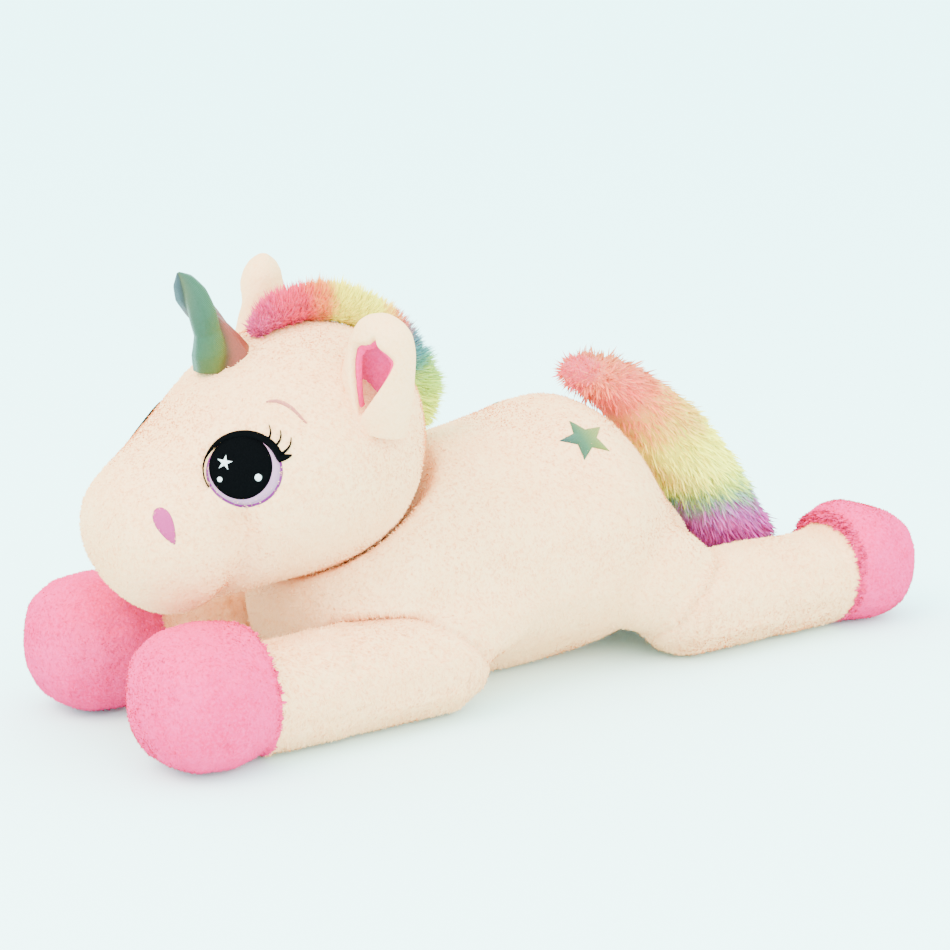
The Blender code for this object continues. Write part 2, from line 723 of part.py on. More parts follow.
def main():
    clear_scene()
    sweeps = [head_sweep()]
    for side in (1, -1):
        for direction, root_y in ((-1, FRONT_ROOT_Y), (1, HIND_ROOT_Y)):
            sweeps.append(leg_sweep(Vector((side * LEG_X, root_y, LEG_Z)), direction))
    torso_form = torso(sweeps)
    head_form = helper(loft("head_form", smooth_rows(HEAD, 2), None))
    skin = surface_of(head_form)
    pieces = head() + face(skin)
    pieces.append(mane())
    hinge("neck_hinge", NECK, pieces)
    clear_of_head = helper(loft("head_skin", smooth_rows(HEAD, 2), None, inset=-GAP))
    horn(clear_of_head)
    for side in (1, -1):
        ear(side, clear_of_head)
    for side in (1, -1):
        leg("front", side, -1)
        leg("hind", side, 1)
    tail()
    star_patches(surface_of(torso_form))


main()
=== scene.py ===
"""Looks of the lying plush unicorn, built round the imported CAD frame.

Metres, +Z up, nose towards -Y, the unicorn's left side towards +X.
"""

import json
import math

import bmesh
import bpy
import numpy as np
from mathutils import Matrix, Vector
from mathutils.bvhtree import BVHTree


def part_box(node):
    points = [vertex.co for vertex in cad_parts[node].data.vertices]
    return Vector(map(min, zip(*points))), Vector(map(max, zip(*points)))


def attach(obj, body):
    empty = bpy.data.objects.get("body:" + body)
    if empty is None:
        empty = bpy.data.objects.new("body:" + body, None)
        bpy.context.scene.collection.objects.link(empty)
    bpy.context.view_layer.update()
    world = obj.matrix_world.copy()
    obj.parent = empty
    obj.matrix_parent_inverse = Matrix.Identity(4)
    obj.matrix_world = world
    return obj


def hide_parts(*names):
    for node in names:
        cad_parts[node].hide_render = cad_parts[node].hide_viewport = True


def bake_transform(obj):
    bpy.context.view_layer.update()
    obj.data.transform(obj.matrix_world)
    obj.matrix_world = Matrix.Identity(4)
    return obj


VOXEL = 0.0036                # size of the remeshed skins' cells
CREASE = 0.011                # how far a crease between two skins is drawn together
SEAM_LAP = 0.007              # how far a leg's sleeve goes on inside its hoof
PILE_SEED = 7
NAP_LONG = 0.0034             # short pile on the body and the legs' sleeves
HEAD_NAP_LONG = 0.0030
HOOF_NAP_LONG = 0.0026
NAP_COUNT = {"torso": 60000, "head": 45000, "sleeve": 16000, "hoof": 9000}
LEG_FILL_OUT = 0.0042         # how far a leg's root is filled out to touch the body

CAMERA_AZIMUTH = 54.1         # degrees
CAMERA_ELEVATION = 13.3
CAMERA_DISTANCE = 1.96
CAMERA_TARGET = Vector((0, -0.033, 0.163))
CAMERA_LENS = 88.9

CREAM = (0.93, 0.45, 0.21, 1)
CREAM_DEEP = (0.91, 0.36, 0.14, 1)
CREAM_PALE = (0.95, 0.52, 0.28, 1)
PINK = (0.70, 0.012, 0.115, 1)
PINK_DEEP = (0.62, 0.006, 0.080, 1)
PINK_PALE = (0.78, 0.045, 0.19, 1)
BACKDROP = (0.72, 0.93, 0.93, 1)

# Colours along the mane from the forehead, and along the tail from its root: (share, colour).
MANE_BANDS = [
    (0.00, (0.62, 0.03, 0.17)), (0.04, (0.70, 0.015, 0.14)), (0.12, (0.76, 0.008, 0.10)),
    (0.20, (0.74, 0.02, 0.07)), (0.25, (0.80, 0.11, 0.04)), (0.30, (0.86, 0.34, 0.03)),
    (0.35, (0.90, 0.72, 0.03)), (0.52, (0.90, 0.76, 0.05)), (0.58, (0.84, 0.36, 0.05)),
    (0.62, (0.66, 0.12, 0.09)), (0.67, (0.36, 0.14, 0.16)), (0.71, (0.04, 0.18, 0.23)),
    (0.77, (0.07, 0.26, 0.14)), (0.83, (0.42, 0.54, 0.05)), (1.00, (0.86, 0.80, 0.03)),
]
TAIL_BANDS = [
    (0.00, (0.74, 0.05, 0.09)), (0.05, (0.84, 0.16, 0.07)), (0.12, (0.84, 0.07, 0.06)),
    (0.22, (0.88, 0.16, 0.05)), (0.30, (0.90, 0.42, 0.05)), (0.40, (0.92, 0.74, 0.04)),
    (0.58, (0.92, 0.82, 0.08)), (0.64, (0.56, 0.64, 0.10)), (0.69, (0.16, 0.32, 0.20)),
    (0.74, (0.46, 0.09, 0.38)), (0.82, (0.54, 0.03, 0.30)), (0.92, (0.36, 0.015, 0.18)),
    (1.00, (0.08, 0.004, 0.035)),
]


# ---- materials ----------------------------------------------------------------------------
class Look:
    """A material's nodes, with short ways to add and join them."""

    def __init__(self, name):
        self.material = bpy.data.materials.new(name)
        self.material.use_nodes = True
        self.nodes = self.material.node_tree.nodes
        self.links = self.material.node_tree.links
        self.shader = self.nodes["Principled BSDF"]

    def node(self, kind, settings=None, **inputs):
        made = self.nodes.new(kind)
        for key, value in (settings or {}).items():
            setattr(made, key, value)
        for key, value in inputs.items():
            self.put(made.inputs[key.replace("_", " ")], value)
        return made

    def put(self, socket, value):
        if isinstance(value, bpy.types.NodeSocket):
            self.links.new(value, socket)
        else:
            socket.default_value = value

    def place(self):
        return self.node("ShaderNodeNewGeometry").outputs["Position"]

    def noise(self, scale, detail=3.0, roughness=0.55, place=None):
        made = self.node("ShaderNodeTexNoise", Scale=scale, Detail=detail, Roughness=roughness)
        self.links.new(place or self.place(), made.inputs["Vector"])
        return made.outputs["Fac"]

    def ramp(self, factor, *stops):
        made = self.node("ShaderNodeValToRGB", Fac=factor)
        elements = made.color_ramp.elements
        while len(elements) < len(stops):
            elements.new(0.5)
        for element, (position, colour) in zip(elements, stops):
            element.position = position
            element.color = colour
        return made.outputs["Color"]

    def mix(self, factor, a, b, mode="MIX"):
        made = self.node("ShaderNodeMix", {"data_type": "RGBA", "blend_type": mode})
        self.put(made.inputs[0], factor)
        self.put(made.inputs[6], a)
        self.put(made.inputs[7], b)
        return made.outputs[2]

    def math(self, kind, a, b=0.0):
        made = self.node("ShaderNodeMath", {"operation": kind})
        self.put(made.inputs[0], a)
        self.put(made.inputs[1], b)
        return made.outputs[0]

    def bump(self, *layers):
        """Heights in metres as (factor, height), the coarsest first."""
        normal = None
        for factor, height in layers:
            made = self.node("ShaderNodeBump", Height=factor, Distance=height)
            if normal:
                self.links.new(normal, made.inputs["Normal"])
            normal = made.outputs["Normal"]
        self.links.new(normal, self.shader.inputs["Normal"])

    def set(self, **values):
        for key, value in values.items():
            self.put(self.shader.inputs[key.replace("_", " ")], value)
        return self


def plush(name, base, deep, pale):
    """Short pile: clumped tips, a fine fibre grain and a soft glow at the edges."""
    look = Look(name)
    clumps = look.noise(420, 2.0)
    brushed = look.noise(38, 3.0)
    cloud = look.noise(9, 2.0)
    tone = look.ramp(clumps, (0.20, deep), (0.42, base), (0.80, pale))
    tone = look.mix(look.ramp(brushed, (0.35, (0, 0, 0, 1)), (0.70, (0.55, 0.55, 0.55, 1))),
                    tone, pale)
    tone = look.mix(look.ramp(cloud, (0.35, (0.16, 0.16, 0.16, 1)), (0.6, (0, 0, 0, 1))),
                    tone, deep)
    look.set(Base_Color=tone, Roughness=0.95, Sheen_Weight=0.05, Sheen_Roughness=0.45,
             Sheen_Tint=pale, Specular_IOR_Level=0.03)
    look.bump((brushed, 0.0022), (look.noise(150, 2.0), 0.0012), (clumps, 0.0007))
    return look.material


def long_pile():
    """Strands dyed in bands: their colour is in the pieces' own colour layer."""
    look = Look("long_pile")
    dyed = look.node("ShaderNodeAttribute", {"attribute_name": "pile"}).outputs["Color"]
    strand = look.noise(900, 2.0)
    tone = look.mix(look.ramp(strand, (0.35, (0.12, 0.12, 0.12, 1)), (0.60, (0, 0, 0, 1))),
                    dyed, (0.80, 0.62, 0.45, 1))
    look.set(Base_Color=tone, Roughness=0.85, Sheen_Weight=0.04, Sheen_Roughness=0.5,
             Specular_IOR_Level=0.06)
    look.bump((strand, 0.0004))
    return look.material


def shiny_fabric():
    """Smooth colour-shifting cloth with a fine weave."""
    look = Look("shiny_fabric")
    dyed = look.node("ShaderNodeAttribute", {"attribute_name": "pile"}).outputs["Color"]
    fleck = look.noise(700, 2.0)
    tone = look.mix(look.ramp(fleck, (0.42, (0, 0, 0, 1)), (0.70, (0.5, 0.5, 0.5, 1))),
                    dyed, (0.30, 0.36, 0.30, 1), "OVERLAY")
    look.set(Base_Color=tone, Roughness=0.45, Specular_IOR_Level=0.22, Coat_Weight=0.04,
             Coat_Roughness=0.3)
    weave = look.node("ShaderNodeTexWave", {"bands_direction": "DIAGONAL"}, Scale=420.0,
                      Distortion=1.5)
    look.links.new(look.place(), weave.inputs["Vector"])
    look.bump((look.noise(60, 3.0), 0.0012), (weave.outputs["Fac"], 0.00025))
    return look.material


def thread(name, colour, deep, direction):
    """Satin stitch: close parallel threads, with painted shade in the narrow lines between them."""
    look = Look(name)
    wave = look.node("ShaderNodeTexWave", {"bands_direction": direction}, Scale=560.0,
                     Distortion=1.2)
    look.links.new(look.place(), wave.inputs["Vector"])
    lines = wave.outputs["Fac"]
    fuzz = look.noise(800, 2.0)
    # painted shade: the lines between the threads are mixed towards the darker colour
    tone = look.mix(look.ramp(lines, (0.0, (0.55, 0.55, 0.55, 1)), (0.5, (0, 0, 0, 1))),
                    colour, deep)
    tone = look.mix(look.ramp(fuzz, (0.45, (0, 0, 0, 1)), (0.75, (0.35, 0.35, 0.35, 1))),
                    tone, deep)
    look.set(Base_Color=tone, Roughness=0.9, Specular_IOR_Level=0.0)
    look.bump((fuzz, 0.0003), (lines, 0.00035))
    return look.material


def floor_look():
    look = Look("floor")
    haze = look.noise(3, 2.0)
    tone = look.mix(haze, BACKDROP, tuple(0.99 * c for c in BACKDROP[:3]) + (1,))
    look.set(Base_Color=tone, Roughness=0.9, Specular_IOR_Level=0.1)
    return look.material


# ---- meshes -------------------------------------------------------------------------------
def link(name, mesh, look):
    mesh.materials.clear()
    mesh.materials.append(look)
    mesh.shade_smooth()
    obj = bpy.data.objects.new(name, mesh)
    bpy.context.scene.collection.objects.link(obj)
    return obj


def mesh_of(name, points, faces):
    mesh = bpy.data.meshes.new(name)
    mesh.from_pydata([tuple(p) for p in points], [], faces)
    shape = bmesh.new()
    shape.from_mesh(mesh)
    bmesh.ops.recalc_face_normals(shape, faces=shape.faces)
    shape.to_mesh(mesh)
    shape.free()
    return mesh


def joined(names):
    """Points and faces of several CAD nodes."""
    points, faces = [], []
    for name in names:
        mesh = frame["nodes"][name].data
        start = len(points)
        points += [v.co.copy() for v in mesh.vertices]
        for face in mesh.polygons:
            faces.append(tuple(start + i for i in face.vertices))
    return points, faces


def modified(obj, *steps):
    """Applies modifiers, each (kind, settings), to an object's mesh."""
    for kind, settings in steps:
        step = obj.modifiers.new(kind, kind)
        for key, value in settings.items():
            setattr(step, key, value)
    graph = bpy.context.evaluated_depsgraph_get()
    made = bpy.data.meshes.new_from_object(obj.evaluated_get(graph))
    obj.modifiers.clear()
    obj.data = made
    return obj


def largest_part(mesh):
    """Keeps the connected part with the most points."""
    shape = bmesh.new()
    shape.from_mesh(mesh)
    left, best = set(shape.verts), []
    while left:
        stack, part = [left.pop()], []
        while stack:
            vertex = stack.pop()
            part.append(vertex)
            for edge in vertex.link_edges:
                other = edge.other_vert(vertex)
                if other in left:
                    left.remove(other)
                    stack.append(other)
        if len(part) > len(best):
            best = part
    kept = set(best)
    bmesh.ops.delete(shape, geom=[v for v in shape.verts if v not in kept], context="VERTS")
    shape.to_mesh(mesh)
    shape.free()


def skin(name, points, faces, look, voxel=VOXEL, smooth=10):
    """A soft closed form round the given solids."""
    mesh = bpy.data.meshes.new(name)
    mesh.from_pydata(points, [], faces)
    obj = link(name, mesh, look)
    modified(obj, ("REMESH", {"mode": "VOXEL", "voxel_size": voxel}))
    largest_part(obj.data)
    modified(obj, ("SMOOTH", {"factor": 0.5, "iterations": smooth}))
    obj.data.materials.clear()
    obj.data.materials.append(look)
    obj.data.shade_smooth()
    return obj


def coordinates(obj):
    co = np.zeros(len(obj.data.vertices) * 3, np.float32)
    obj.data.vertices.foreach_get("co", co)
    return co.reshape(-1, 3).astype(float)


def set_coordinates(obj, co):
    obj.data.vertices.foreach_set("co", co.astype(np.float32).ravel())
    obj.data.update()


def normals(obj):
    found = np.zeros(len(obj.data.vertices) * 3, np.float32)
    obj.data.vertex_normals.foreach_get("vector", found)
    return found.reshape(-1, 3).astype(float)


def groove(obj, line, width, depth):
    """Presses a soft crease into the skin along a line of points."""
    co, out = coordinates(obj), normals(obj)
    line = np.array([tuple(p) for p in line])
    nearest = np.full(len(co), 1e9)
    for a, b in zip(line, line[1:]):
        d = b - a
        t = np.clip(((co - a) @ d) / max(d @ d, 1e-12), 0, 1)
        nearest = np.minimum(nearest, np.linalg.norm(co - (a + t[:, None] * d), axis=1))
    set_coordinates(obj, co - out * (depth * np.exp(-(nearest / width) ** 2))[:, None])


def swell(obj, centre, radius, height):
    """Pushes a soft bulge out of the skin, or a hollow into it where height is negative."""
    co, out = coordinates(obj), normals(obj)
    far = np.linalg.norm(co - np.array(tuple(centre)), axis=1) / radius
    set_coordinates(obj, co + out * (height * np.exp(-far ** 2))[:, None])


def tree_of(obj):
    mesh = obj.data
    return BVHTree.FromPolygons([v.co.copy() for v in mesh.vertices],
                                [tuple(p.vertices) for p in mesh.polygons])


def middle(node):
    low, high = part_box(node)
    return (low + high) / 2


# ---- body ---------------------------------------------------------------------------------
def leg_facts():
    """For each leg's body: its hinge and the direction it lies in."""
    found = {}
    for joint in frame["joints"]:
        body = joint["child"]
        if "leg" not in body:
            continue
        kind, _, word = body.split("_")
        place = Vector(joint["pos_m"])
        reach = middle(f"{kind}_hoof_cover_{word}") - place
        found[body] = (kind, word, place, Vector((reach.x, reach.y, 0)).normalized())
    return found


def leg_solid(body, behind, front=None):
    """A leg's cover and stuffing between two distances from its hinge, with the cuts closed."""
    kind, word, place, along = LEGS[body]
    points, faces = joined([f"{kind}_leg_cover_{word}", f"{kind}_leg_stuffing_{word}"])
    shape = bmesh.new()
    vertices = [shape.verts.new(p) for p in points]
    for face in faces:
        shape.faces.new([vertices[i] for i in face])
    close_at(shape, place + along * behind, -along)
    if front is not None:
        close_at(shape, place + along * front, along)
    shape.verts.index_update()
    found = [v.co.copy() for v in shape.verts], [tuple(v.index for v in f.verts)
                                                 for f in shape.faces]
    shape.free()
    return found


def close_at(shape, place, outwards):
    """Cuts away what lies beyond a plane and closes the hole."""
    everything = shape.verts[:] + shape.edges[:] + shape.faces[:]
    cut = bmesh.ops.bisect_plane(shape, geom=everything, plane_co=place, plane_no=outwards,
                                 clear_outer=True)
    rim = [e for e in cut["geom_cut"] if isinstance(e, bmesh.types.BMEdge)]
    bmesh.ops.holes_fill(shape, edges=rim)


def together(*solids):
    points, faces = [], []
    for some_points, some_faces in solids:
        start = len(points)
        points += some_points
        faces += [tuple(start + i for i in f) for f in some_faces]
    return points, faces


def settle(obj, tree, reach):
    """Draws the skin's points within reach of another form onto it."""
    co = coordinates(obj)
    for i, p in enumerate(co):
        place, _, _, far = tree.find_nearest(Vector(p), reach)
        if place:
            co[i] = p + (np.array(place) - p) * (1 - (far / reach) ** 3)
    set_coordinates(obj, co)


def torso_nodes():
    return ["torso_cover_left", "torso_cover_right", "belly_panel", "torso_stuffing"]


def ball(centre, radii, count=24):
    """An ellipsoid."""
    shape = bmesh.new()
    bmesh.ops.create_uvsphere(shape, u_segments=count, v_segments=count // 2, radius=1)
    points = [Vector(centre) + Vector([c * r for c, r in zip(v.co, radii)])
              for v in shape.verts]
    faces = [tuple(v.index for v in f.verts) for f in shape.faces]
    shape.free()
    return points, faces


def shoulders():
    """The stuffing that rounds off the flanks over the roots of the legs."""
    found = []
    for kind, _, place, _ in LEGS.values():
        centre = place - Vector((math.copysign(0.008, place.x), 0, 0)) + Vector((0, 0, 0.028))
        if kind == "front":
            found.append(ball(centre + Vector((0, 0.040, 0)), (0.040, 0.066, 0.040)))
        else:
            found.append(ball(centre - Vector((0, 0.030, 0)), (0.040, 0.060, 0.046)))
    return found


def stuffed(solid, body):
    """The root of a leg, filled out until it touches the body."""
    _, _, place, along = LEGS[body]
    for p in solid[0]:
        d = (p - place).dot(along)
        away = p - place - along * d
        p += away.normalized() * LEG_FILL_OUT * min(1.0, max(0.0, (0.125 - d) / 0.03))
    return solid


def body_tree():
    """The torso and the legs grown together, as soft cloth runs from one to the other."""
    solids = [stuffed(leg_solid(body, -1, 0.16), body) for body in LEGS] + shoulders()
    form = skin("body_form", *together(joined(torso_nodes()), *solids), LOOKS["cream"],
                voxel=0.0046, smooth=9)
    for kind, _, place, along in LEGS.values():
        if kind == "front":
            pucker(form, place, along)
    tree = tree_of(form)
    bpy.data.objects.remove(form)
    return tree


def pucker(form, place, along):
    """Short gathers across the crease where a front leg meets the flank."""
    outward = math.copysign(1, place.x)
    for k in range(7):
        at = place + along * (-0.03 + 0.022 * k) + Vector((outward * 0.006, 0, 0.048))
        groove(form, [at + Vector((-outward * 0.010, 0.003, 0.004)),
                      at + Vector((outward * 0.014, -0.004, -0.006))], 0.0035, 0.0012)


def make_body(tree):
    """The torso's skin, with the round roots of the four legs in it."""
    roots = [leg_solid(body, -1, 0.0) for body in LEGS]
    body = skin("torso_skin", *together(joined(torso_nodes()), *roots, *shoulders()),
                LOOKS["cream"], smooth=8)
    settle(body, tree, CREASE)
    tuck(body)
    flatten(body)
    pile = nap(body, NAP_COUNT["torso"], NAP_LONG, LOOKS["cream"], PILE_SEED + 20)
    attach(pile, "torso")
    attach(body, "torso")
    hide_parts(*torso_nodes())
    return body


def tuck(obj):
    """Draws the lower flanks in under the body, between the front and the hind legs."""
    co = coordinates(obj)
    low = np.clip(1 - co[:, 2] / 0.075, 0, 1)
    span = np.exp(-((co[:, 1] + 0.020) / 0.060) ** 4)
    co[:, 0] *= 1 - 0.20 * low * span
    set_coordinates(obj, co)


def flatten(obj):
    """Nothing reaches below the floor."""
    co = coordinates(obj)
    co[:, 2] = np.maximum(co[:, 2], 0.0002)
    set_coordinates(obj, co)


def seam_distance(body):
    kind, word, place, along = LEGS[body]
    mesh = frame["nodes"][f"{kind}_leg_cover_{word}"].data
    return max((v.co - place).dot(along) for v in mesh.vertices)


def cut_skin(name, source, place, outwards, look):
    """The part of a skin on one side of a plane, closed."""
    shape = bmesh.new()
    shape.from_mesh(source.data)
    close_at(shape, place, outwards)
    mesh = bpy.data.meshes.new(name)
    shape.to_mesh(mesh)
    shape.free()
    return link(name, mesh, look)


def squared(obj, place, along, seam):
    """Makes a hoof a little boxy and flattens its toe, as its panels do."""
    co = coordinates(obj)
    side = np.cross(np.array(along), [0, 0, 1])
    centre = np.array(place) + [0, 0, 0.009]
    d = (co - centre) @ np.array(along)
    u, v = (co - centre) @ side, co[:, 2] - centre[2]
    radius = np.hypot(u, v) + 1e-9
    boxy = (1 - np.cos(4 * np.arctan2(v, u))) / 2
    share = np.clip((d - seam) / 0.03, 0, 1)
    off_axis = np.clip(radius / 0.04, 0, 1)
    grow = 0.0035 * boxy * share * off_axis
    if place.y > 0:
        grow -= 0.012 * np.clip((d - seam - 0.045) / 0.05, 0, 1) ** 2 * off_axis
        co[:, 2] += 0.006 * np.exp(-((d - seam - 0.022) / 0.020) ** 2) * (v > 0)
    co += (side[None, :] * (u / radius)[:, None] + np.array([0, 0, 1])[None, :]
           * (v / radius)[:, None]) * grow[:, None]
    set_coordinates(obj, co)


def make_leg(body, tree):
    """A leg's cream sleeve, its pink hoof and the pile that crosses their seam."""
    kind, word, place, along = LEGS[body]
    cover, fill, hoof = (f"{kind}_leg_cover_{word}", f"{kind}_leg_stuffing_{word}",
                         f"{kind}_hoof_cover_{word}")
    seam = seam_distance(body)
    whole = skin("whole_leg", *joined([cover, fill, hoof]), LOOKS["cream"], voxel=0.0032,
                 smooth=7)
    squared(whole, place, along, seam)

    sleeve = cut_skin(f"{kind}_leg_skin_{word}", whole, place + along * (seam + SEAM_LAP),
                      along, LOOKS["cream"])
    co, out = coordinates(sleeve), normals(sleeve)
    d = (co - np.array(place)) @ np.array(along)
    sink = 0.0022 * np.clip((d - seam + 0.003) / 0.005, 0, 1)
    set_coordinates(sleeve, co - out * sink[:, None])
    settle(sleeve, tree, CREASE)
    flatten(sleeve)
    pile = nap(sleeve, NAP_COUNT["sleeve"], NAP_LONG, LOOKS["cream"],
               PILE_SEED + 30 + len(body))
    for piece in (sleeve, pile):
        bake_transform(piece)
    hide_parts(cover, fill)

    shoe = cut_skin(f"{kind}_hoof_skin_{word}", whole, place + along * (seam - 0.001), -along,
                    LOOKS["pink"])
    bpy.data.objects.remove(whole)
    creases(shoe, place, along, seam)
    flatten(shoe)
    pile = nap(shoe, NAP_COUNT["hoof"], HOOF_NAP_LONG, LOOKS["pink"],
               PILE_SEED + 40 + len(body))
    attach(pile, body)
    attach(shoe, body)
    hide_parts(hoof)
    seam_pile(kind, word, body, shoe, place, along, seam)


def creases(shoe, place, along, seam):
    """The faint lines of a hoof's panels."""
    side = along.cross(Vector((0, 0, 1)))
    for turn in (20, 140, 260):
        line = []
        for k in range(8):
            t = k / 7
            angle = math.radians(turn + 14 * math.sin(3 * t))
            reach = 0.056 * math.cos(1.35 * t)
            line.append(place + along * (seam + 0.030 + 0.062 * math.sin(1.45 * t))
                        + side * reach * math.cos(angle)
                        + Vector((0, 0, 0.009 + reach * math.sin(angle))))
        groove(shoe, line, 0.0045, 0.0014)


def seam_pile(kind, word, body, shoe, place, along, seam):
    """Tufts of the hoof's pile lying over the sleeve's end."""
    rng = np.random.default_rng(PILE_SEED + len(kind) * 3 + len(word))
    faces = [tuple(p.vertices) for p in shoe.data.polygons
             if len(p.vertices) < 5
             and (p.center - place).dot(along) < seam + 0.007]
    points = [v.co for v in shoe.data.vertices]
    count = 1500 if kind == "hind" else 700
    root, out = scattered(points, faces, count, rng)
    reach = rng.uniform(0.002, 0.007 if kind == "hind" else 0.004, count)[:, None]
    tip = root - np.array(along) * reach + out * rng.uniform(-0.0010, 0.0002, count)[:, None]
    tip += rng.normal(size=tip.shape) * 0.0009
    colour = np.array(PINK[:3]) * rng.uniform(0.95, 1.12, count)[:, None]
    # the tufts get painted shade at their roots, at the default 0.55 of their colour
    pile = tufts(f"{kind}_hoof_pile_{word}", root - out * 0.0008, tip,
                 rng.normal(size=root.shape) * 0.0005, rng.uniform(0.0007, 0.0013, count),
                 colour, LOOKS["pink"], rng)
    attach(pile, body)


# ---- head ---------------------------------------------------------------------------------
def make_head(look):
    names = ["head_cover_left", "head_cover_right", "head_stuffing"]
    head = skin("head_skin", *joined(names), look, smooth=8)
    for side in (1, -1):
        swell(head, (side * 0.060, -0.352, 0.150), 0.040, 0.0035)
        swell(head, (side * 0.085, -0.235, 0.165), 0.055, 0.0030)
        groove(head, [(side * 0.080, -0.306, 0.178), (side * 0.078, -0.300, 0.150),
                      (side * 0.062, -0.299, 0.122),
                      (side * 0.030, -0.300, 0.105)], 0.011, 0.0078)
        groove(head, [(side * 0.072, -0.214, 0.290), (side * 0.084, -0.232, 0.272),
                      (side * 0.088, -0.250, 0.258)], 0.006, 0.0016)
    pile = nap(head, NAP_COUNT["head"], HEAD_NAP_LONG, look, PILE_SEED + 50)
    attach(pile, "head")
    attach(head, "head")
    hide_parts(*names)
    return head


def plane_at(tree, centre, side):
    """The nearest place on a skin, its normal, and the upward and sideways directions there."""
    hit, normal, _, _ = tree.find_nearest(Vector(centre))
    up = (Vector((0, 0, 1)) - normal * normal.z).normalized()
    return hit, normal, up, up.cross(normal) * side


def ring_steps(rings):
    """Sizes of rings from a small middle one out to 1."""
    return [0.04 + 0.96 * r / (rings - 1) for r in range(rings)]


def laid(name, tree, centre, rings, lift, thick, look, body, tilt=0.0, side=1):
    """A thin piece laid on a skin: rings of (sideways, upwards) points from its middle out."""
    hit, normal, up, across = plane_at(tree, centre, side)
    turn = Matrix.Rotation(tilt * side, 3, normal)
    up, across = turn @ up, turn @ across
    count = len(rings[0])
    low, high = [], []
    for ring_number, ring in enumerate(rings):
        share = ring_number / max(len(rings) - 1, 1)
        rise = thick * (1 - share ** 3)
        for u, v in ring:
            start = hit + across * u + up * v + normal * 0.04
            place, slope, _, _ = tree.ray_cast(start, -normal)
            place = place or hit + across * u + up * v
            slope = slope or normal
            low.append(place - slope * 0.0008)
            high.append(place + slope * (lift + rise))
    faces = []
    size = len(high)
    points = high + low
    for r in range(len(rings) - 1):
        for k in range(count):
            n = (k + 1) % count
            a, b = r * count + k, r * count + n
            faces.append((a, b, b + count, a + count))
    faces.append(tuple(range(count)))
    edge = (len(rings) - 1) * count
    for k in range(count):
        n = (k + 1) % count
        faces.append((edge + k, edge + n, size + edge + n, size + edge + k))
    used = sorted({i for f in faces for i in f})
    place_of = {old: new for new, old in enumerate(used)}
    mesh = mesh_of(name, [points[i] for i in used],
                   [tuple(place_of[i] for i in f) for f in faces])
    obj = link(name, mesh, look)
    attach(obj, body)
    return obj


def disc(rx, ry, count=40, rings=8, du=0.0, dv=0.0):
    return [[(du + rx * s * math.cos(math.tau * k / count),
              dv + ry * s * math.sin(math.tau * k / count)) for k in range(count)]
            for s in ring_steps(rings)]


def star_rings(radius, inner=0.47, rings=7, spread=4, du=0.0, dv=0.0, turn=90):
    """Rings of a five-pointed star with points along each edge."""
    corners = []
    for k in range(10):
        r = radius if k % 2 == 0 else radius * inner
        angle = math.radians(turn + 36 * k)
        corners.append((r * math.cos(angle), r * math.sin(angle)))
    edge = []
    for a, b in zip(corners, corners[1:] + corners[:1]):
        edge += [(a[0] + (b[0] - a[0]) * t / spread, a[1] + (b[1] - a[1]) * t / spread)
                 for t in range(spread)]
    return [[(du + u * s, dv + v * s) for u, v in edge]
            for s in ring_steps(rings)]


def band(name, tree, centre, line, lift, look, body, side=1):
    """A raised stitched line: points (sideways, upwards, half width) about a centre."""
    hit, normal, up, across = plane_at(tree, centre, side)
    section = 7
    points, faces = [], []
    for i, (u, v, half) in enumerate(line):
        a, b = line[max(i - 1, 0)], line[min(i + 1, len(line) - 1)]
        d = Vector((b[0] - a[0], b[1] - a[1])).normalized()
        sideways = Vector((-d.y, d.x))
        for k in range(section):
            t = 2 * k / (section - 1) - 1
            start = (hit + across * (u + sideways.x * half * t)
                     + up * (v + sideways.y * half * t) + normal * 0.04)
            place, slope, _, _ = tree.ray_cast(start, -normal)
            place = place or start - normal * 0.04
            slope = slope or normal
            points.append(place + slope * (lift * math.sqrt(max(0.0, 1 - t * t)) - 0.0002))
    for i in range(len(line) - 1):
        for k in range(section - 1):
            a = i * section + k
            faces.append((a, a + 1, a + 1 + section, a + section))
    obj = link(name, mesh_of(name, points, faces), look)
    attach(obj, body)
    return obj


def brow_line():
    return [(-0.0159, 0.0042, 0.0008), (-0.0125, 0.0049, 0.0014), (-0.0085, 0.0049, 0.0017),
            (-0.0030, 0.0030, 0.0018), (0.0025, -0.0005, 0.0017), (0.0070, -0.0044, 0.0014),
            (0.0110, -0.0085, 0.0011), (0.0150, -0.0128, 0.0006)]


def lid_line():
    """The lid from its thin inner end, over the eye, to its thick outer wing."""
    line = []
    for k in range(36):
        t = k / 35
        angle = math.radians(215 - 198 * t)
        thick = min(1.0, max(0.0, (t - 0.24) / 0.30))
        line.append((0.0012 + 0.0290 * math.cos(angle), -0.0040 + 0.0262 * math.sin(angle),
                     0.0006 + 0.0028 * thick * thick * (3 - 2 * thick)))
    line += [(0.0318, 0.0052, 0.0028), (0.0345, 0.0058, 0.0019), (0.0375, 0.0070, 0.0007)]
    return line


def lash_line(u, v, du, dv):
    line = []
    for k in range(10):
        t = k / 9
        sway = 0.0022 * math.sin(math.pi * t)
        line.append((u + du * t + sway, v + dv * t - 0.3 * sway, 0.0013 * (1 - 0.72 * t)))
    return line


LASHES = [(0.0180, 0.0165, 0.0018, 0.0128), (0.0242, 0.0125, 0.0042, 0.0128),
          (0.0298, 0.0075, 0.0068, 0.0125)]


def nostril_rings():
    rings = []
    for r in range(7):
        s = 0.04 + 0.96 * r / 6
        ring = []
        for k in range(28):
            t = math.tau * k / 28
            wide = 0.0088 * (0.35 + 0.65 * (0.5 + 0.5 * math.sin(t)) ** 0.8)
            ring.append((wide * s * math.cos(t), 0.0150 * s * math.sin(t)))
        rings.append(ring)
    return rings


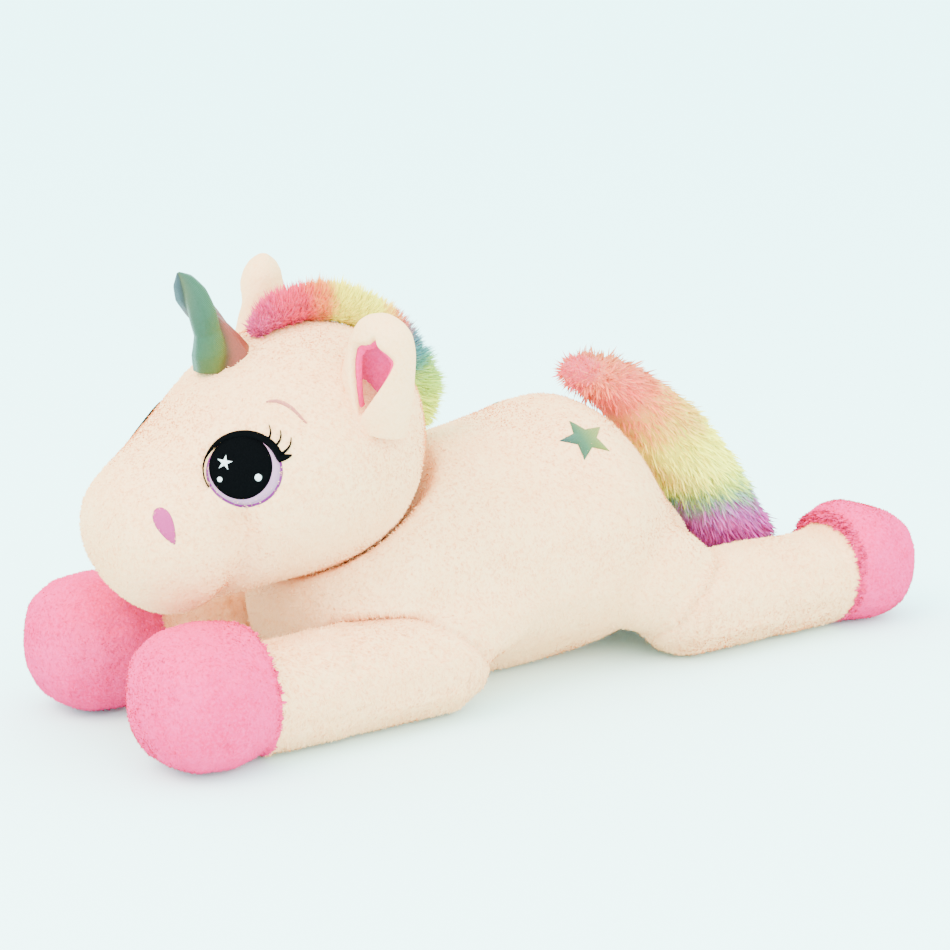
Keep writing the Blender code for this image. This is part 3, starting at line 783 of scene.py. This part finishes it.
def make_face(head):
    """Embroidered eyes with lids, lashes and highlights, brows and nostrils."""
    tree = tree_of(head)
    for side, word in ((1, "left"), (-1, "right")):
        eye = middle(f"eye_pupil_{word}")

        def stitched(name, rings, lift, thick, look):
            piece = laid(f"{name}_{word}", tree, eye, rings, lift, thick, LOOKS[look], "head",
                         side=side)
            return piece

        ring = stitched("eye_ring", disc(0.0284, 0.0266, 56, dv=-0.0054, du=0.0028), 0.0004,
                        0.0006, "violet")
        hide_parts(f"eye_iris_{word}")
        stitched("eye_white", disc(0.0267, 0.0250, 56, dv=-0.0052, du=0.0026), 0.0008, 0.0007,
                 "pale")
        pupil = stitched("eye_black", disc(0.0236, 0.0240, 56, dv=-0.0026), 0.0013, 0.0013,
                         "black")
        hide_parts(f"eye_pupil_{word}")
        lid = band(f"eye_lid_line_{word}", tree, eye, lid_line(), 0.0030, LOOKS["black"],
                   "head", side=side)
        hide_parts(f"eye_lid_{word}")
        for number, lash_shape in enumerate(LASHES):
            lash = band(f"eye_lash_{word}_{number}", tree, eye, lash_line(*lash_shape), 0.0018,
                        LOOKS["black"], "head", side=side)
        stitched("eye_star", star_rings(0.0060, 0.36, dv=-0.0004, du=-0.0117, turn=82), 0.0028, 0.0006,
                 "white")
        stitched("eye_dot", disc(0.0026, 0.0026, 18, 4, 0.0134, -0.0105), 0.0028, 0.0006,
                 "white")
        stitched("eye_speck", disc(0.0019, 0.0019, 16, 4, -0.0150, -0.0130), 0.0026, 0.0006,
                 "white")
        brow = band(f"brow_line_{word}", tree, middle(f"brow_{word}"), brow_line(), 0.0012,
                    LOOKS["brow"], "head", side=side)
        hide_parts(f"brow_{word}")
        nostril = laid(f"nostril_stitch_{word}", tree, middle(f"nostril_{word}"),
                       nostril_rings(), 0.0004, 0.0014, LOOKS["dusty"], "head",
                       tilt=math.radians(26), side=side)
        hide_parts(f"nostril_{word}")


EAR_ROWS = [   # (share of the height, width, half angle of the wall round the opening)
    (-0.16, 1.06, 179), (0.0, 1.08, 179), (0.08, 1.08, 174), (0.30, 1.06, 158),
    (0.50, 1.02, 142), (0.64, 0.98, 132), (0.70, 0.95, 140), (0.76, 0.90, 172),
    (0.86, 0.78, 179), (0.94, 0.55, 179), (1.0, 0.16, 179)]


def ear_wall(place, turn, lean, tall, inset, widest, rows=34, columns=44):
    """A cup's wall, open to one side: a grid of points."""
    points = []
    for i in range(rows):
        u = -0.16 + 1.16 * i / (rows - 1)
        wide = np.interp(u, [r[0] for r in EAR_ROWS], [r[1] for r in EAR_ROWS])
        half = min(widest, np.interp(u, [r[0] for r in EAR_ROWS], [r[2] for r in EAR_ROWS]))
        for k in range(columns):
            t = math.radians(half) * (2 * k / (columns - 1) - 1)
            flat = Vector(((0.0285 * wide - inset) * math.sin(t),
                           (0.0190 * wide - inset) * math.cos(t), u * (tall - inset)))
            points.append(place + lean @ (turn @ flat))
    return points


def walled(name, outer, inner, rows, columns, look):
    """A closed sheet between two grids."""
    size = rows * columns
    edge = [i * columns for i in range(rows)]
    edge += [(rows - 1) * columns + k for k in range(1, columns)]
    edge += [i * columns + columns - 1 for i in range(rows - 2, -1, -1)]
    edge += list(range(columns - 2, 0, -1))
    faces = []
    for i in range(rows - 1):
        for k in range(columns - 1):
            a = i * columns + k
            faces.append((a, a + 1, a + 1 + columns, a + columns))
            faces.append(tuple(size + q for q in (a, a + columns, a + 1 + columns, a + 1)))
    for a, b in zip(edge, edge[1:] + edge[:1]):
        faces.append((a, b, b + size, a + size))
    return link(name, mesh_of(name, outer + inner, faces), look)


# (side, word, height, degrees it leans outwards, degrees its opening is turned outwards)
EARS = ((1, "left", 0.079, 15, 24), (-1, "right", 0.096, -8, 40))


def make_ears(cream, pink):
    """Thick soft cups that are nearly closed, with a three-cornered pink opening."""
    rows, columns = 34, 44
    for side, word, tall, leant, turned in EARS:
        low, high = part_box(f"ear_outer_{word}")
        place = Vector(((low.x + high.x) / 2 - side * 0.011, (low.y + high.y) / 2, low.z + 0.004))
        lean = Matrix.Rotation(side * math.radians(leant), 3, "Y")
        turn = Matrix.Rotation(side * math.radians(turned), 3, "Z")
        for part, look, outer, inner, widest, voxel, slot in (
                ("outer", cream, 0.0, 0.0062, 180, 0.0015, "cream_plush"),
                ("lining", pink, 0.0058, 0.0120, 180, 0.0013, "pink_plush")):
            walls = [ear_wall(place, turn, lean, tall, inset, widest)
                     for inset in (outer, inner)]
            shell = walled("ear_shell", *walls, rows, columns, look)
            points = [v.co.copy() for v in shell.data.vertices]
            faces = [tuple(p.vertices) for p in shell.data.polygons]
            bpy.data.objects.remove(shell)
            piece = skin(f"ear_{part}_skin_{word}", points, faces, look, voxel=voxel, smooth=6)
            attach(piece, "head")
            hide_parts(f"ear_{part}_{word}")


def nap(skin_piece, count, long, look, seed):
    """Short pile standing on a skin: one narrow leaf to a tuft, brushed one way."""
    rng = np.random.default_rng(seed)
    mesh = skin_piece.data
    points = [v.co for v in mesh.vertices]
    faces = [tuple(p.vertices) for p in mesh.polygons if len(p.vertices) < 5]
    root, out = scattered(points, faces, count, rng)
    keep = root[:, 2] > 0.003
    root, out = root[keep], out[keep]
    brushed = np.stack([np.sin(root[:, 1] * 60 + 9 * root[:, 2]),
                        np.cos(root[:, 2] * 70 + 12 * root[:, 0]),
                        np.sin(root[:, 0] * 55 + 7 * root[:, 1]) - 0.8], 1)
    brushed += rng.normal(size=root.shape) * 0.55
    brushed -= out * (brushed * out).sum(1)[:, None]
    brushed /= np.linalg.norm(brushed, axis=1)[:, None] + 1e-9
    lean = out * rng.uniform(0.25, 0.60, len(root))[:, None] + brushed * 0.85
    tip = root + lean * (long * rng.uniform(0.6, 1.1, len(root)))[:, None]
    side = np.cross(lean, out)
    side /= np.linalg.norm(side, axis=1)[:, None] + 1e-9
    half = rng.uniform(0.00045, 0.00085, len(root))[:, None]
    root = root - out * 0.0004
    places = np.stack([root - side * half, root + side * half, tip], 1).reshape(-1, 3)
    leaves = np.arange(len(root))[:, None] * 3 + [0, 1, 2]
    made = bpy.data.meshes.new(skin_piece.name)
    made.from_pydata(places.tolist(), [], leaves.tolist())
    return link(skin_piece.name.replace("skin", "nap"), made, look)


# ---- long pile ----------------------------------------------------------------------------
def band_colours(bands, share):
    """Colours at the given shares of the way along a dyed strip."""
    places = [b[0] for b in bands]
    return np.stack([np.interp(share, places, [b[1][i] for b in bands]) for i in range(3)], 1)


def scattered(node_points, node_faces, count, rng):
    """Random places spread evenly over a mesh, with the faces' normals."""
    tri = []
    for face in node_faces:
        for k in range(1, len(face) - 1):
            tri.append((face[0], face[k], face[k + 1]))
    co = np.array([tuple(p) for p in node_points])
    a, b, c = (co[[t[i] for t in tri]] for i in range(3))
    cross = np.cross(b - a, c - a)
    area = np.linalg.norm(cross, axis=1)
    picked = rng.choice(len(tri), count, p=area / area.sum())
    u, v = rng.random(count), rng.random(count)
    flip = u + v > 1
    u[flip], v[flip] = 1 - u[flip], 1 - v[flip]
    place = a[picked] + (b - a)[picked] * u[:, None] + (c - a)[picked] * v[:, None]
    return place, cross[picked] / area[picked][:, None]


def tufts(name, root, tip, bow, width, colour, look, rng, root_shade_factor=0.55):
    """Tapered strands, each a bent strip of three lengths, with painted shade: darker at the root by
    the given factor, a little lighter at the tip.
    """
    count = len(root)
    along = tip - root
    side = np.cross(along, rng.normal(size=(count, 3)))
    side /= np.linalg.norm(side, axis=1)[:, None] + 1e-9
    rows, tones = [], []
    for t, share in ((0.0, 0.9), (0.4, 1.0), (0.75, 0.7)):
        centre = root + along * t + bow * (t * t)
        rows += [centre - side * (width * share)[:, None], centre + side * (width * share)[:, None]]
        # painted shade: darker at the root, rising to a little over full colour towards the tip
        tones += [colour * (root_shade_factor + (1.08 - root_shade_factor) * t)] * 2
    rows.append(root + along + bow)
    tones.append(np.clip(colour * 1.10, 0, 1))
    points = np.stack(rows, 1).reshape(-1, 3)
    shades = np.stack(tones, 1).reshape(-1, 3)
    base = np.arange(count)[:, None] * 7
    quads = np.concatenate([base + [0, 1, 3, 2], base + [2, 3, 5, 4]])
    tips = base + [4, 5, 6]
    mesh = bpy.data.meshes.new(name)
    mesh.from_pydata(points.tolist(), [], quads.tolist() + tips.tolist())
    obj = link(name, mesh, look)
    painted(obj, shades)
    return obj


def painted(obj, colours):
    layer = obj.data.color_attributes.new("pile", "FLOAT_COLOR", "POINT")
    full = np.concatenate([colours, np.ones((len(colours), 1))], 1)
    layer.data.foreach_set("color", full.astype(np.float32).ravel())


def nearest_on_line(points, line):
    """For each point, the nearest place on a line and its share of the line's length."""
    line = np.array(line)
    steps = np.linalg.norm(np.diff(line, axis=0), axis=1)
    reach = np.concatenate([[0], np.cumsum(steps)])
    best = np.full(len(points), 1e9)
    place, share = np.zeros_like(points), np.zeros(len(points))
    for i, (a, b) in enumerate(zip(line, line[1:])):
        d = b - a
        t = np.clip(((points - a) @ d) / max(d @ d, 1e-12), 0, 1)
        near = a + t[:, None] * d
        far = np.linalg.norm(points - near, axis=1)
        closer = far < best
        best[closer] = far[closer]
        place[closer] = near[closer]
        share[closer] = (reach[i] + t[closer] * steps[i]) / reach[-1]
    return place, share


def crest_line(count=26):
    """The head's outline in the middle plane, from the mane's front end to its back end."""
    low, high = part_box("mane")
    tree = BVHTree.FromPolygons(*joined(["head_cover_left", "head_cover_right"]))
    centre = Vector((0.004, (low.y + high.y) / 2 - 0.02, low.z))
    line = []
    for k in range(count):
        angle = math.radians(128 - 133 * k / (count - 1))
        start = centre + Vector((0, math.cos(angle), math.sin(angle))) * 0.4
        hit, _, _, _ = tree.ray_cast(start, (centre - start).normalized())
        if hit:
            line.append((0.0, hit.y, hit.z))
    return line


def make_mane(look):
    rng = np.random.default_rng(PILE_SEED)
    points, faces = joined(["mane"])
    line = crest_line()
    place, out = scattered(points, faces, 17000, rng)
    base, share = nearest_on_line(place, line)
    lifted = place - base
    tall = np.linalg.norm(lifted, axis=1)
    use = tall > 0.006
    place, base, share, lifted, tall, out = (x[use] for x in
                                             (place, base, share, lifted, tall, out))
    n = len(place)
    nape = np.clip((share - 0.72) / 0.28, 0, 1)[:, None]
    root = base + lifted * 0.25
    clump = np.sin(share * 160)[:, None] * 0.05
    tip = place + lifted * (rng.uniform(-0.14, 0.05, n)[:, None] + clump + 0.16 * nape)
    tip += nape * np.array([0, 0.008, -0.012])
    tip += np.clip((share - 0.90) / 0.10, 0, 1)[:, None] * np.array([0, 0.006, -0.014])
    bow = rng.normal(size=(n, 3)) * 0.0016
    patch = 0.020 * np.sin(share * 55 + 2 * np.sin(place[:, 0] * 160))
    mixed = np.clip(share + patch * 0.6 + rng.normal(size=n) * 0.010, 0, 1)
    colour = band_colours(MANE_BANDS, mixed) * rng.uniform(0.90, 1.10, n)[:, None]
    # the strands' roots get painted shade, at 0.84 of their colour
    fur = tufts("mane_pile", root, tip, bow, rng.uniform(0.0005, 0.0010, n), colour, look, rng,
                root_shade_factor=0.84)
    core = skin("mane_core", points, faces, look, voxel=0.003, smooth=6)
    co = coordinates(core)
    base, share = nearest_on_line(co, line)
    set_coordinates(core, base + (co - base) * 0.78)
    # painted shade: the core under the strands is coloured at 0.75 of the bands
    painted(core, band_colours(MANE_BANDS, share) * 0.75)
    for piece in (fur, core):
        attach(piece, "head")
    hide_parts("mane")


def make_tail(look):
    rng = np.random.default_rng(PILE_SEED + 1)
    names = ["tail_panel_left", "tail_panel_right"]
    core = skin("tail_core", *joined(names), look, voxel=0.0032, smooth=6)
    low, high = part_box(names[0])
    co = coordinates(core)
    stations = 26
    order = tail_share(co, low, high)
    line = []
    for k in range(stations):
        inside = np.abs(order - (k + 0.5) / stations) < 0.6 / stations
        line.append(tuple(co[inside].mean(0) * [0, 1, 1]))
    line = np.array(line)
    core_faces = [tuple(p.vertices) for p in core.data.polygons]
    place, out = scattered(list(co), core_faces, 26000, rng)
    base, share = nearest_on_line(place, line)
    n = len(place)
    step = np.clip((share * (stations - 1)).astype(int), 0, stations - 2)
    flow = line[step + 1] - line[step]
    flow /= np.linalg.norm(flow, axis=1)[:, None]
    rise = np.cross(flow, [1.0, 0, 0])
    above = ((place - base) * rise).sum(1) / 0.035
    crown = np.clip(1 - share / 0.16, 0, 1)[:, None]
    lean = flow * (0.92 - 0.85 * crown) + out * (0.24 + 0.25 * crown)
    lean += rng.normal(size=(n, 3)) * (0.10 + 0.24 * crown)
    lean /= np.linalg.norm(lean, axis=1)[:, None]
    long = rng.uniform(0.013, 0.023, n)[:, None] * (1 - 0.25 * crown)
    root = place - out * (0.007 + 0.004 * crown)
    tip = root + lean * long
    bow = rng.normal(size=(n, 3)) * 0.0020
    patch = 0.03 * np.sin(place[:, 1] * 70 + 3 * np.sin(place[:, 0] * 90))
    mixed = share + 0.075 * above * np.clip((share - 0.3) / 0.3, 0, 1)
    mixed = np.clip(mixed + patch * 0.5 + rng.normal(size=n) * 0.016, 0, 1)
    colour = band_colours(TAIL_BANDS, mixed)
    under = (np.clip(-above, 0, 1) * np.clip(1 - share / 0.35, 0, 1))[:, None]
    colour = colour * (1 - under) + np.array([0.24, 0.20, 0.03]) * under
    warm = (np.clip(np.sin(place[:, 2] * 85 + place[:, 0] * 60 + 1.2), 0, 1)
            * np.clip(1 - np.abs(share - 0.42) / 0.2, 0, 1))[:, None] * 0.7
    colour = colour * (1 - warm) + np.array([0.66, 0.24, 0.06]) * warm
    colour *= rng.uniform(0.92, 1.06, n)[:, None]
    # the strands' roots get painted shade, at 0.84 of their colour
    fur = tufts("tail_pile", root, tip, bow, rng.uniform(0.0006, 0.0011, n), colour, look, rng,
                root_shade_factor=0.84)
    base, share = nearest_on_line(co, line)
    set_coordinates(core, base + (co - base) * 0.90)
    # painted shade: the core under the strands is coloured at 0.75 of the bands
    painted(core, band_colours(TAIL_BANDS, share) * 0.75)
    for piece in (fur, core):
        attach(piece, "tail")
    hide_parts(*names)


def tail_share(co, low, high):
    """How far along the tail a point is: from the root backwards and then downwards."""
    back = (co[:, 1] - low.y) / (high.y - low.y)
    down = (high.z - co[:, 2]) / (high.z - low.z)
    share = 0.5 * (back + down)
    return (share - share.min()) / (share.max() - share.min())


# ---- horn and stars -----------------------------------------------------------------------
def make_horn(look):
    """Two twisted lobes of shiny cloth that lean forwards and curl at the tip."""
    low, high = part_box("horn_cover")
    root = Vector((0, (low.y + high.y) / 2 + 0.016, low.z - 0.002))
    tall = high.z - low.z - 0.003
    rows, count = 56, 60
    sizes = [(0.0, 0.0225), (0.20, 0.0200), (0.42, 0.0145), (0.60, 0.0150), (0.78, 0.0128),
             (0.92, 0.0075), (1.0, 0.0012)]
    green, teal = np.array((0.022, 0.068, 0.016)), np.array((0.012, 0.050, 0.040))
    olive, rust = np.array((0.13, 0.11, 0.012)), np.array((0.19, 0.026, 0.012))
    slate = np.array((0.022, 0.040, 0.048))
    points, faces, tones = [], [], []
    for i in range(rows):
        u = i / (rows - 1)
        centre = root + Vector((0, -0.040 * u ** 1.25, tall * u))
        lean = Matrix.Rotation(math.radians(38 * u), 3, "X")
        size = np.interp(u, [s[0] for s in sizes], [s[1] for s in sizes])
        front = math.radians(222 - 185 * u)
        for k in range(count):
            t = math.tau * k / count
            near = math.cos(t - front)
            lobe = 0.62 + 0.54 * abs(near) ** 1.2
            fold = 1 - 0.05 * (0.5 + 0.5 * math.cos(9 * t + 8 * u))
            flat = Vector((size * lobe * fold * math.sin(t), size * lobe * fold * math.cos(t), 0))
            points.append(centre + lean @ flat)
            edge = 0.5 + 0.5 * math.sin(t - front)
            first = teal * edge + green * (1 - edge)
            first = first * (1 - 0.55 * (1 - abs(near))) + olive * 0.55 * (1 - abs(near))
            cold = min(1.0, max(0.0, 3.2 * (u - 0.42)))
            second = rust * (1 - cold) + slate * cold
            mix = 1 / (1 + math.exp(-9 * near))
            # painted shade: darker along the groove where the two lobes meet
            deep = 1 - 0.45 * math.exp(-(near / 0.22) ** 2)
            tones.append((first * mix + second * (1 - mix)) * deep)
    for i in range(rows - 1):
        for k in range(count):
            a, b = i * count + k, i * count + (k + 1) % count
            faces.append((a, b, b + count, a + count))
    faces.append(tuple(range(count)))
    faces.append(tuple((rows - 1) * count + k for k in range(count)))
    horn = link("horn_skin", mesh_of("horn_skin", points, faces), look)
    painted(horn, np.array(tones))
    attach(horn, "head")
    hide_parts("horn_cover", "horn_stuffing")


def make_stars(body, look):
    tree = tree_of(body)
    for side, word in ((1, "left"), (-1, "right")):
        node = f"star_patch_{word}"
        star = laid(f"star_skin_{word}", tree, middle(node),
                    star_rings(0.0225, 0.46, 10, 6), 0.0006, 0.0014, look, "torso",
                    tilt=0.3, side=side)
        co = coordinates(star)
        low, high = co[:, 1].min(), co[:, 1].max()
        share = np.clip((co[:, 1] - low) / (high - low), 0, 1)
        bands = [(0, (0.015, 0.045, 0.045)), (0.4, (0.03, 0.085, 0.035)),
                 (0.7, (0.13, 0.14, 0.02)), (1, (0.20, 0.17, 0.03))]
        painted(star, band_colours(bands, share))
        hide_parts(node)


# ---- stage --------------------------------------------------------------------------------
def stage():
    points = [(x, y, -0.0003) for x, y in ((-30, -30), (30, -30), (30, 30), (-30, 30))]
    floor = link("floor", mesh_of("floor", points, [(0, 1, 2, 3)]), floor_look())
    world = bpy.data.worlds.new("studio")
    world.use_nodes = True
    sky = world.node_tree.nodes["Background"]
    sky.inputs["Color"].default_value = (0.60, 1.0, 1.0, 1)
    sky.inputs["Strength"].default_value = 7.6
    bpy.context.scene.world = world
    for name, place, size, power in (
            ("key", (0.2, -2.4, 2.8), 2.0, 230),
            ("fill", (2.8, 0.2, 1.2), 2.4, 95)):
        light = bpy.data.lights.new(name, "AREA")
        light.energy = power
        light.size = size
        light.color = (1.0, 0.55, 0.46)
        lamp = bpy.data.objects.new(name, light)
        lamp.location = place
        lamp.rotation_euler = (Vector(place) - CAMERA_TARGET).to_track_quat("Z", "Y").to_euler()
        bpy.context.scene.collection.objects.link(lamp)


def camera():
    azimuth, elevation = math.radians(CAMERA_AZIMUTH), math.radians(CAMERA_ELEVATION)
    back = Vector((math.sin(azimuth) * math.cos(elevation),
                   -math.cos(azimuth) * math.cos(elevation), math.sin(elevation)))
    data = bpy.data.cameras.new("camera")
    data.lens = CAMERA_LENS
    data.sensor_width = 36
    obj = bpy.data.objects.new("camera", data)
    obj.location = CAMERA_TARGET + back * CAMERA_DISTANCE
    obj.rotation_euler = back.to_track_quat("Z", "Y").to_euler()
    bpy.context.scene.collection.objects.link(obj)
    bpy.context.scene.camera = obj


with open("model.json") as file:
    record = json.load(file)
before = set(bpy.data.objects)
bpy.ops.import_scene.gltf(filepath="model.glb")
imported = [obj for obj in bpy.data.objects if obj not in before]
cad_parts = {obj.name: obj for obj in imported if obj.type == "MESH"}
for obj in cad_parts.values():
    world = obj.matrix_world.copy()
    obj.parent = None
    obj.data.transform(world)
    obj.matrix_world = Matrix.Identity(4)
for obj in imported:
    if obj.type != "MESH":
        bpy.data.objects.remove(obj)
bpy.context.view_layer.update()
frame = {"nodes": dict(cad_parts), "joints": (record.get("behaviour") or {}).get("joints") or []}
LEGS = leg_facts()
LOOKS = {
    "cream": plush("cream_plush_look", CREAM, CREAM_DEEP, CREAM_PALE),
    "pink": plush("pink_plush_look", PINK, PINK_DEEP, PINK_PALE),
    "pile": long_pile(),
    "shiny": shiny_fabric(),
    "violet": thread("violet_stitch", (0.25, 0.03, 0.20, 1), (0.18, 0.02, 0.15, 1), "Z"),
    "pale": thread("pale_stitch", (0.52, 0.25, 0.40, 1), (0.42, 0.18, 0.34, 1), "Z"),
    "dusty": thread("dusty_stitch", (0.50, 0.05, 0.20, 1), (0.42, 0.035, 0.17, 1), "Z"),
    "brow": thread("brow_stitch", (0.62, 0.19, 0.15, 1), (0.54, 0.15, 0.12, 1), "Z"),
    "black": thread("black_stitch", (0.0022, 0.0022, 0.0026, 1), (0.0010, 0.0010, 0.0012, 1),
                    "Y"),
    "white": thread("white_stitch", (0.88, 0.88, 0.90, 1), (0.70, 0.70, 0.74, 1), "Z"),
}
camera()
stage()
merged = body_tree()
torso_skin = make_body(merged)
for leg in LEGS:
    make_leg(leg, merged)
head_skin = make_head(LOOKS["cream"])
make_face(head_skin)
make_ears(LOOKS["cream"], LOOKS["pink"])
make_mane(LOOKS["pile"])
make_tail(LOOKS["pile"])
make_horn(LOOKS["shiny"])
make_stars(torso_skin, LOOKS["shiny"])
